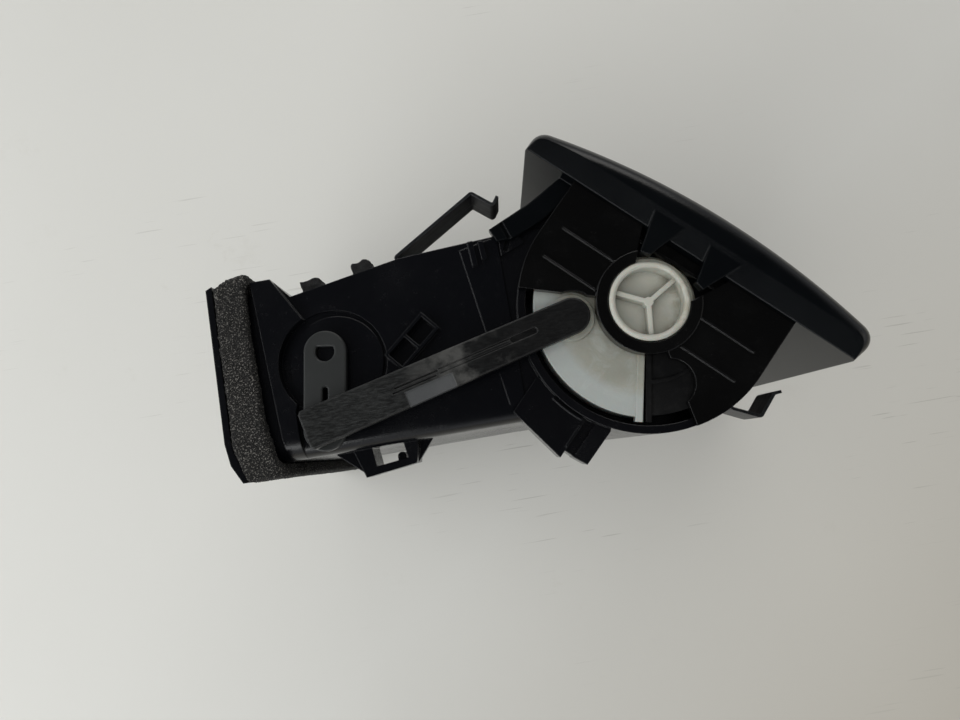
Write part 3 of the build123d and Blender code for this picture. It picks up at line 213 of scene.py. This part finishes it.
def moulded_plastic(name, colour, worn_and_highlit, roughness, dust, edge_wear_and_highlight=0.35, grain_scale=2600):
    """Injection-moulded plastic: fine grain, uneven gloss, worn edges with a painted highlight,
    scuffs, a little dust.
    """
    n = Nodes(name)
    edge, rounded = n.edges(0.4 * MM)
    patches = n.noise(38, detail=5, roughness=0.6)
    scuffs = n.spread(n.noise(420, detail=6, roughness=0.7), 0.56, 0.78)
    # edges painted lighter: part rubbing wear, part painted edge highlight
    rubbed_and_highlit = n.times(edge, n.spread(n.noise(70, detail=4), 0.42, 0.62))
    haze = n.spread(patches, 0.5, 0.75, 0.0, dust)
    specks = n.spread(n.cells(1500), 0.0, 0.1, 1.0, 0.0)
    fleck = n.times(specks, n.spread(n.noise(110, detail=1), 0.6, 0.68))
    shade = n.mix(haze, colour, worn_and_highlit)
    shade = n.mix(n.times(scuffs, dust), shade, worn_and_highlit)
    shade = n.mix(n.times(rubbed_and_highlit, edge_wear_and_highlight), shade, worn_and_highlit)
    shade = n.mix(n.times(fleck, 0.45), shade, DUST_FLECK)
    gloss = n.spread(patches, 0.3, 0.7, roughness - 0.05, roughness + 0.07)
    gloss = n.maths("ADD", gloss, n.times(scuffs, 0.12))
    height = n.maths("ADD", n.noise(grain_scale, detail=2), n.times(patches, 0.4))
    return n.finish(shade, gloss, n.bump(height, 0.02 * MM, normal=rounded))


ROD_BLACK, ROD_HEEL = (0.003, 0.003, 0.0032), (0.006, 0.0063, 0.0063)
ROD_RUB, ROD_CHALK = (0.036, 0.038, 0.038), (0.11, 0.11, 0.105)
# the first colour on this line is a painted reflection on the sunk patch
ROD_PATCH_SHEEN, ROD_EDGE_WEAR_AND_HIGHLIGHT = (0.062, 0.065, 0.068), (0.09, 0.09, 0.09)


def worn_rod():
    """The link rod's plastic: drawn-out rub marks towards the lever, chalky scuffs by its middle
    and a sunk patch painted lighter as a painted reflection."""
    n = Nodes("rod_plastic")
    edge, rounded = n.edges(0.4 * MM)
    moved = n.add("ShaderNodeMapping", [("Vector", n.place), ("Location", tuple(-CRANK_PIN))])
    turned = n.add("ShaderNodeMapping", [("Vector", moved.outputs[0]),
                                         ("Rotation", (0, 0, -ROD_TURN))])
    axes = n.add("ShaderNodeSeparateXYZ", [("Vector", turned.outputs[0])])
    length, width = axes.outputs["X"], axes.outputs["Y"]
    drawn = n.noise(520, detail=6, roughness=0.72, place=n.stretched((1.0, 5.0, 1.0), -ROD_TURN))
    cloud = n.noise(95, detail=5, roughness=0.65)
    heel = n.spread(length, *HEEL)
    rub = n.times(n.spread(drawn, 0.42, 0.72), n.maths("ADD", 0.25, heel))
    chalk = n.times(n.spread(cloud, 0.52, 0.66), n.near(length, CHALK_MID, *CHALK_REACH))
    # painted reflection: the sunk patch painted lighter
    patch_sheen = n.times(n.near(length, PATCH_MID, PATCH_HALF - 0.1 * MM, PATCH_HALF),
                    n.spread(width, *PATCH_EDGE))
    shade = n.mix(heel, ROD_BLACK, ROD_HEEL)
    # the edge mask lightens the edges: part wear, part painted highlight
    for amount, strength, colour in ((rub, 0.6, ROD_RUB), (chalk, 0.4, ROD_CHALK),
                                     (patch_sheen, 0.85, ROD_PATCH_SHEEN), (edge, 0.3, ROD_EDGE_WEAR_AND_HIGHLIGHT)):
        shade = n.mix(n.times(amount, strength), shade, colour)
    gloss = n.spread(cloud, 0.3, 0.7, 0.28, 0.42)
    height = n.maths("ADD", n.noise(2400, detail=2), n.times(drawn, 1.5))
    return n.finish(shade, gloss, n.bump(height, 0.04 * MM, 1.0, rounded), Specular_IOR_Level=0.4)


BEZEL_DARK, BEZEL_LIGHT = (0.001, 0.0014, 0.0019), (0.0021, 0.0027, 0.0033)
# edge colour: rubbing wear and a painted highlight along the rim
BEZEL_RUBBED_AND_HIGHLIT = (0.03, 0.033, 0.035)


def soft_touch():
    """Bezel paint: fine leather-like grain with a broad soft sheen."""
    n = Nodes("bezel_soft_touch")
    edge, rounded = n.edges(0.6 * MM)
    cloud = n.noise(30, detail=4)
    grain = n.cells(2400)
    fine = n.noise(5200, detail=2)
    # edges painted lighter: part rubbing wear, part painted highlight along the rim
    rubbed_and_highlit = n.times(edge, n.spread(n.noise(600, detail=3), 0.4, 0.65))
    shade = n.mix(n.spread(cloud, 0.35, 0.7), BEZEL_DARK, BEZEL_LIGHT)
    shade = n.mix(n.times(rubbed_and_highlit, 0.2), shade, BEZEL_RUBBED_AND_HIGHLIT)
    height = n.maths("ADD", n.times(grain, 0.7), n.times(fine, 0.3))
    gloss = n.spread(cloud, 0.3, 0.7, 0.2, 0.28)
    return n.finish(shade, gloss, n.bump(height, 0.03 * MM, 0.6, rounded), Specular_IOR_Level=0.28)


# the first colour is painted shade inside the pores
FOAM_PORE_SHADE, FOAM_STRUT = (0.0012, 0.0012, 0.0012), (0.0105, 0.0102, 0.0096)
FOAM_GLINT, FOAM_DULL = (0.15, 0.144, 0.132), (0.012, 0.012, 0.012)


def open_foam():
    """Charcoal open-cell foam: pores painted dark as shade between light struts, with painted
    glints.
    """
    n = Nodes("open_cell_foam")
    strut = n.spread(n.cells(2300), 0.34, 0.62)
    glint = n.spread(n.noise(2700, detail=1, roughness=0.4), 0.57, 0.66)
    tone = n.noise(140, detail=4, roughness=0.6)
    # painted shade: the pores between the struts darkened
    shade = n.mix(strut, FOAM_PORE_SHADE, FOAM_STRUT)
    shade = n.mix(n.times(glint, 0.9), shade, FOAM_GLINT)
    shade = n.mix(n.spread(tone, 0.4, 0.75, 0.0, 0.4), shade, FOAM_DULL)
    return n.finish(shade, 0.95, n.bump(n.maths("SUBTRACT", glint, strut), 0.2 * MM, 0.7))


FELT_DARK, FELT_LIGHT, FELT_FUZZ = (0.003, 0.003, 0.0035), (0.014, 0.014, 0.015), (0.06, 0.06, 0.06)


def felt():
    """Dark felt: short crossed fibres."""
    n = Nodes("dark_felt")
    fibre = n.noise(900, detail=6, roughness=0.8, distortion=2.5)
    fuzz = n.noise(4200, detail=3, roughness=0.7)
    shade = n.mix(n.spread(fibre, 0.35, 0.7), FELT_DARK, FELT_LIGHT)
    shade = n.mix(n.spread(fuzz, 0.62, 0.8, 0.0, 0.5), shade, FELT_FUZZ)
    return n.finish(shade, 0.95, n.bump(n.maths("ADD", fibre, fuzz), 0.3 * MM), Sheen_Weight=0.1)


SPRING_DARK, SPRING_LIGHT = (0.03, 0.032, 0.035), (0.06, 0.063, 0.066)
SHEARED_EDGE = (0.25, 0.25, 0.25)
STEEL_DARK, STEEL_LIGHT = (0.38, 0.38, 0.39), (0.58, 0.58, 0.58)


def spring_steel():
    """Phosphated spring steel: dark grey, faint rolling lines, brighter sheared edges."""
    n = Nodes("phosphated_spring_steel")
    edge, rounded = n.edges(0.22 * MM, 0.02, 0.2)
    lines = n.noise(90, detail=5, place=n.stretched((1, 1, 30)))
    mottle = n.noise(700, detail=4, roughness=0.7)
    shade = n.mix(n.spread(mottle, 0.35, 0.7), SPRING_DARK, SPRING_LIGHT)
    shade = n.mix(n.times(edge, 0.6), shade, SHEARED_EDGE)
    gloss = n.spread(lines, 0.3, 0.7, 0.34, 0.5)
    return n.finish(shade, gloss, n.bump(lines, 0.02 * MM, 1.0, rounded), Metallic=0.85)


def bright_steel():
    """Bare steel with turning marks."""
    n = Nodes("turned_steel")
    rounded = n.rounded(0.2 * MM)
    rings = n.noise(240, detail=3, place=n.stretched((1, 1, 14)))
    shade = n.mix(n.spread(rings, 0.3, 0.7), STEEL_DARK, STEEL_LIGHT)
    return n.finish(shade, n.spread(rings, 0.3, 0.7, 0.22, 0.36),
                    n.bump(rings, 0.01 * MM, 1.0, rounded), Metallic=1.0)


# the first two colours are painted light on the hub and outer band; the third is real smearing
HUB_PAINTED_LIGHT, BAND_PAINTED_LIGHT, SMEAR = (0.47, 0.47, 0.42), (0.33, 0.36, 0.36), (0.36, 0.385, 0.375)
GREASE = (0.2, 0.185, 0.125)


def wheel_marks(n, shade, stain, centre):
    """The thumbwheel's marks: painted light on the hub and the outer band, grease to the right,
    smears.
    """
    offset = n.vector("SUBTRACT", n.place, centre).outputs[0]
    flat = n.vector("MULTIPLY", offset, (1, 1, 0)).outputs[0]
    radius = n.vector("LENGTH", flat).outputs["Value"]
    across = n.add("ShaderNodeSeparateXYZ", [("Vector", offset)]).outputs["X"]
    grubby = n.times(n.spread(across, *GRUBBY_SIDE), n.spread(stain, 0.4, 0.6))
    smear = n.noise(150, detail=6, roughness=0.7, distortion=1.2)
    # painted light: the hub painted lighter, lifting the shade of its recessed dish
    shade = n.mix(n.times(n.spread(radius, *HUB_EDGE, 1.0, 0.0), 0.7), shade, HUB_PAINTED_LIGHT)
    # painted light: the outer band painted lighter, for light scattered in the translucent rim
    shade = n.mix(n.times(n.spread(radius, *OUTER_BAND), 0.7), shade, BAND_PAINTED_LIGHT)
    shade = n.mix(n.times(grubby, 0.55), shade, GREASE)
    return n.mix(n.spread(smear, 0.5, 0.7, 0.0, 0.45), shade, SMEAR)


def ivory(name, colour, grime_and_shade, centre=None):
    """Milky acetal: slightly translucent, with painted shade mottling its corners, and grime
    specks.
    """
    n = Nodes(name)
    rounded = n.rounded(0.5 * MM)
    shadow = n.add("ShaderNodeAmbientOcclusion", [("Distance", 2.2 * MM)], samples=RAYS)
    cloud = n.noise(60, detail=5, roughness=0.6)
    stain = n.noise(260, detail=4, roughness=0.65, distortion=0.6)
    # painted shade: darker where the occlusion node finds corners and recesses, mottled by the
    # stain noise
    corner = n.spread(shadow.outputs["AO"], 0.35, 0.9, 1.0, 0.0)
    corner_shade = n.times(corner, n.spread(stain, 0.3, 0.65, 0.25, 1.0))
    shade = n.mix(n.spread(cloud, 0.38, 0.64), colour, tuple(0.78 * c for c in colour))
    if centre:
        shade = wheel_marks(n, shade, stain, centre)
    shade = n.mix(n.times(corner_shade, 0.6), shade, grime_and_shade)
    shade = n.mix(n.spread(n.cells(950), 0.0, 0.05, 0.5, 0.0), shade, grime_and_shade)
    gloss = n.spread(stain, 0.35, 0.7, 0.34, 0.52)
    height = n.maths("ADD", n.noise(1500, detail=2), n.times(cloud, 1.2))
    return n.finish(shade, gloss, n.bump(height, 0.04 * MM, 0.7, rounded), Subsurface_Weight=0.12,
                    Subsurface_Scale=2 * MM)


RUBBER_BLACK, RUBBER_DUST = (0.002, 0.002, 0.0022), (0.02, 0.02, 0.0195)


def elastomer():
    """Dull black rubber with a little dust in its grain."""
    n = Nodes("black_elastomer")
    rounded = n.rounded(0.4 * MM)
    grain = n.noise(3000, detail=3)
    dust = n.spread(n.noise(300, detail=5, roughness=0.7), 0.5, 0.8, 0.0, 0.3)
    shade = n.mix(dust, RUBBER_BLACK, RUBBER_DUST)
    gloss = n.spread(grain, 0.3, 0.7, 0.5, 0.68)
    return n.finish(shade, gloss, n.bump(grain, 0.04 * MM, 0.8, rounded), Specular_IOR_Level=0.35)


BLUE_BLACK, HOUSING_BLACK = (0.0016, 0.0018, 0.0027), (0.0016, 0.0017, 0.0024)
COVER_BLACK, VANE_BLACK = (0.001, 0.001, 0.001), (0.0045, 0.0045, 0.0052)
# the worn and scuff colours also paint a highlight along edges
LEVER_GREY, LEVER_WORN_AND_HIGHLIGHT = (0.017, 0.0185, 0.0185), (0.045, 0.046, 0.046)
SCUFF_AND_HIGHLIGHT, COVER_SCUFF_AND_HIGHLIGHT = (0.016, 0.0165, 0.018), (0.03, 0.03, 0.031)
# the grime colours also paint shade into the acetal's corners
WHEEL_MILK, WHEEL_GRIME_AND_SHADE = (0.29, 0.295, 0.255), (0.1, 0.09, 0.06)
BUSH_MILK, BUSH_GRIME_AND_SHADE = (0.5, 0.5, 0.46), (0.2, 0.19, 0.15)
MATERIALS = {
    "duct_plastic": moulded_plastic("duct_plastic", BLUE_BLACK, SCUFF_AND_HIGHLIGHT, 0.22, dust=0.12, edge_wear_and_highlight=0.15),
    "housing_plastic": moulded_plastic("housing_plastic", HOUSING_BLACK, SCUFF_AND_HIGHLIGHT, 0.22, dust=0.12,
                                       edge_wear_and_highlight=0.2),
    "cover_gloss": moulded_plastic("cover_plastic", COVER_BLACK, COVER_SCUFF_AND_HIGHLIGHT, 0.17, dust=0.05,
                                   grain_scale=1500),
    "bezel_soft_black": soft_touch(),
    "seal_foam": open_foam(),
    "felt": felt(),
    "spring_steel": spring_steel(),
    "pin_steel": bright_steel(),
    "wheel_ivory": ivory("wheel_acetal", WHEEL_MILK, WHEEL_GRIME_AND_SHADE, tuple(WHEEL_AXIS)),
    "grip_rubber": elastomer(),
    "rod_plastic": worn_rod(),
    "lever_plastic": moulded_plastic("lever_plastic", LEVER_GREY, LEVER_WORN_AND_HIGHLIGHT, 0.4, dust=0.2),
    "seal_rubber": elastomer(),
    "bush_plastic": ivory("natural_acetal", BUSH_MILK, BUSH_GRIME_AND_SHADE),
    "vane_plastic": moulded_plastic("vane_plastic", VANE_BLACK, SCUFF_AND_HIGHLIGHT, 0.3, dust=0.12,
                                    grain_scale=3200),
}


def dress_nodes():
    """Gives every carried-over node its slot's material."""
    for part in frame["record"]["subparts"]:
        node = frame["nodes"][part["node"]]
        node.data.materials.clear()
        node.data.materials.append(MATERIALS[part["material_slot"]])


# ------------------------------------------------------------------ mesh helpers
def make_piece(name, mesh, slot, body="casing"):
    """A smooth-shaded piece in its slot's material, riding a body."""
    piece = bpy.data.objects.new(name, mesh)
    bpy.context.scene.collection.objects.link(piece)
    mesh.materials.append(MATERIALS[slot])
    for face in mesh.polygons:
        face.use_smooth = True
    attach(piece, body)
    return piece


def voxel_copy(name, node, voxel):
    """The node's mesh as an even grid of small faces, so that fine relief can be moved into it."""
    source = bpy.data.objects.new(name, frame["nodes"][node].data.copy())
    bpy.context.scene.collection.objects.link(source)
    remesh = source.modifiers.new("voxels", "REMESH")
    remesh.mode = "VOXEL"
    remesh.voxel_size = voxel
    mesh = bpy.data.meshes.new_from_object(source.evaluated_get(
        bpy.context.evaluated_depsgraph_get()))
    bpy.data.objects.remove(source)
    mesh.materials.clear()
    mesh.name = name
    return mesh


def smooth(mesh, passes):
    """Rounds the edges of a voxel mesh."""
    bm = bmesh.new()
    bm.from_mesh(mesh)
    for _ in range(passes):
        bmesh.ops.smooth_vert(bm, verts=bm.verts, factor=0.5, use_axis_x=True,
                              use_axis_y=True, use_axis_z=True)
    bm.to_mesh(mesh)
    bm.free()


def relief(mesh, height):
    """Moves each point along its normal by height(point, normal)."""
    moves = [vertex.normal * height(vertex.co, vertex.normal) for vertex in mesh.vertices]
    for vertex, move in zip(mesh.vertices, moves):
        vertex.co += move


# ------------------------------------------------------------------ soft pieces
FOAM_VOXEL, FOAM_SMOOTHING = 0.55 * MM, 5
FOAM_CELLS, FOAM_WAVE = 0.28 * MM, 0.2 * MM     # heights of the torn cells and of the slow wave
FELT_VOXEL, FELT_SMOOTHING = 0.5 * MM, 1
FELT_TUFT, FELT_FRAY = 0.34 * MM, 0.16 * MM
GLUED_SIDE, GLUED_SHARE = -0.3, 0.1     # normals that face down onto the casing keep less relief
LIP_VOXEL, LIP_SMOOTHING, LIP_WAVE = 0.5 * MM, 2, 0.06 * MM


def foam_tape():
    """Open-cell foam tape: soft edges, slow waves along it and torn cells all over."""
    mesh = voxel_copy("foam_tape", "inlet_foam_seal", FOAM_VOXEL)
    smooth(mesh, FOAM_SMOOTHING)

    def height(place, normal):
        cell = noise.noise(place * 1150) + 0.8 * noise.noise(place * 2400)
        wave = noise.noise(place * 60)
        return FOAM_CELLS * cell + FOAM_WAVE * wave

    relief(mesh, height)
    piece = make_piece("foam_tape", mesh, "seal_foam")
    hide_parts("inlet_foam_seal")


def felt_strip(node):
    """A felt strip with a lumpy, fraying top."""
    mesh = voxel_copy(f"{node}_felt", node, FELT_VOXEL)
    smooth(mesh, FELT_SMOOTHING)

    def height(place, normal):
        tuft = noise.noise(Vector((place.x * 900, place.y * 900, place.z * 420)))
        fray = noise.noise(place * 2300)
        share = 1.0 if normal.y > GLUED_SIDE else GLUED_SHARE
        return (FELT_TUFT * tuft + FELT_FRAY * fray) * share

    relief(mesh, height)
    piece = make_piece(f"{node}_felt", mesh, "felt")
    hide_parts(node)


def flap_lip():
    """The flap's soft lip, with rounded edges and a slight waviness."""
    mesh = voxel_copy("flap_lip", "flap_seal", LIP_VOXEL)
    smooth(mesh, LIP_SMOOTHING)
    relief(mesh, lambda place, normal: LIP_WAVE * noise.noise(place * 160))
    piece = make_piece("flap_lip", mesh, "seal_rubber", "flap")
    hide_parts("flap_seal")


# ------------------------------------------------------------------ floor and light
# the second colour here is painted shade, towards which the table fades at the lower right
TABLE_PALE, TABLE_SHADED, TABLE_CLOUD = (0.6, 0.6, 0.575), (0.42, 0.395, 0.345), (0.52, 0.515, 0.48)
TABLE_SMUDGE, TABLE_SCRATCH = (0.3, 0.27, 0.21), (0.2, 0.19, 0.17)
SHADE_FADE = (0.05, 0.3)           # the painted shade's fade towards the lower right, in metres
TABLE_SIZE, TABLE_MIDDLE = 4.0, (0.07, 0.0)


def pale_table():
    """A pale laminate table with painted shade darkening and warming it towards the lower right,
    and faint marks and scratches.
    """
    n = Nodes("pale_table")
    cloud = n.noise(5, detail=4)
    stroke = n.noise(42, detail=2, roughness=0.4, place=n.stretched((1, 26, 1), 1.1))
    cross = n.noise(30, detail=2, roughness=0.4, place=n.stretched((1, 30, 1), -0.35))
    sparse = n.spread(n.noise(9, detail=2), 0.55, 0.66)
    scratch = n.maths("MAXIMUM", n.spread(stroke, 0.69, 0.73), n.spread(cross, 0.7, 0.74))
    smudge = n.times(n.spread(n.noise(24, detail=6, roughness=0.75), 0.6, 0.72),
                     n.spread(n.noise(7, detail=1), 0.54, 0.64))
    axes = n.add("ShaderNodeSeparateXYZ", [("Vector", n.place)])
    slope = n.maths("SUBTRACT", n.times(axes.outputs["X"], 0.75), axes.outputs["Y"])
    # painted shade: darker and warmer towards the lower right
    shade = n.mix(n.spread(slope, *SHADE_FADE), TABLE_PALE, TABLE_SHADED)
    shade = n.mix(n.spread(cloud, 0.35, 0.75, 0.0, 0.25), shade, TABLE_CLOUD)
    shade = n.mix(n.times(smudge, 0.2), shade, TABLE_SMUDGE)
    shade = n.mix(n.times(n.times(scratch, sparse), 0.35), shade, TABLE_SCRATCH)
    return n.finish(shade, 0.42)


def make_floor():
    bpy.ops.mesh.primitive_plane_add(size=TABLE_SIZE, location=(*TABLE_MIDDLE, FLOOR))
    floor = bpy.context.object
    floor.name = "table"
    floor.data.materials.append(pale_table())


LIGHTS = [                      # name, turn from +X, rise, distance, power, colour
    ("left_panel", 165, 30, 0.9, 2.0, (0.97, 0.99, 1.0)),
    ("lower_panel", 225, 30, 1.0, 3.2, (0.98, 1.0, 1.0)),
    ("upper_panel", 75, 28, 1.0, 2.8, (1.0, 0.98, 0.94)),
    ("right_panel", 350, 24, 1.2, 0.8, (1.0, 0.95, 0.86)),
]
LIGHT_TARGET = (0.07, 0.0, 0.0)
PANEL_SIZE = (0.9, 0.4)
CEILING_PLACE, CEILING_SIZE, CEILING_POWER = (-0.4, -0.32, 1.35), (2.3, 2.1), 22.0
CEILING_COLOUR = (1.0, 0.99, 0.965)
WALL_TOP, CEILING_START = 0.15, 0.6     # Z of the direction in which the room is seen
WALL_GLOW, CEILING_GLOW = 0.55, 0.04
ROOM_COLOUR = (0.95, 0.97, 1.0, 1.0)


def area_light(name, place, size, power, colour):
    """A rectangular area light that faces the target."""
    data = bpy.data.lights.new(name, "AREA")
    data.shape = "RECTANGLE"
    data.size, data.size_y = size
    data.energy = power
    data.color = colour
    light = bpy.data.objects.new(name, data)
    bpy.context.scene.collection.objects.link(light)
    light.location = place
    aim = Vector(LIGHT_TARGET) - Vector(place)
    light.rotation_euler = aim.to_track_quat("-Z", "Y").to_euler()
    return light


def room():
    """Surroundings: pale walls under a dim ceiling."""
    world = bpy.data.worlds.new("room")
    world.use_nodes = True
    tree = world.node_tree
    direction = tree.nodes.new("ShaderNodeTexCoord").outputs["Generated"]
    axes = tree.nodes.new("ShaderNodeSeparateXYZ")
    height = tree.nodes.new("ShaderNodeMapRange")
    for name, value in (("From Min", WALL_TOP), ("From Max", CEILING_START),
                        ("To Min", WALL_GLOW), ("To Max", CEILING_GLOW)):
        height.inputs[name].default_value = value
    background = tree.nodes["Background"]
    background.inputs["Color"].default_value = ROOM_COLOUR
    tree.links.new(direction, axes.inputs[0])
    tree.links.new(axes.outputs["Z"], height.inputs["Value"])
    tree.links.new(height.outputs[0], background.inputs["Strength"])
    return world


def make_light():
    """A broad ceiling that lights without glare, and low soft panels for the highlights."""
    for name, turn, rise, far, power, colour in LIGHTS:
        flat = far * cos(radians(rise))
        place = Vector(LIGHT_TARGET) + Vector((flat * cos(radians(turn)), flat * sin(radians(turn)),
                                               far * sin(radians(rise))))
        area_light(name, place, PANEL_SIZE, power, colour)
    ceiling = area_light("ceiling", CEILING_PLACE, CEILING_SIZE, CEILING_POWER, CEILING_COLOUR)
    ceiling.visible_glossy = False
    bpy.context.scene.world = room()


# ------------------------------------------------------------------ build
bpy.context.scene.view_settings.view_transform = "Standard"
make_camera()
dress_nodes()
foam_tape()
for strip in ("rattle_strip_rear", "rattle_strip_front"):
    felt_strip(strip)
flap_lip()
make_floor()
make_light()
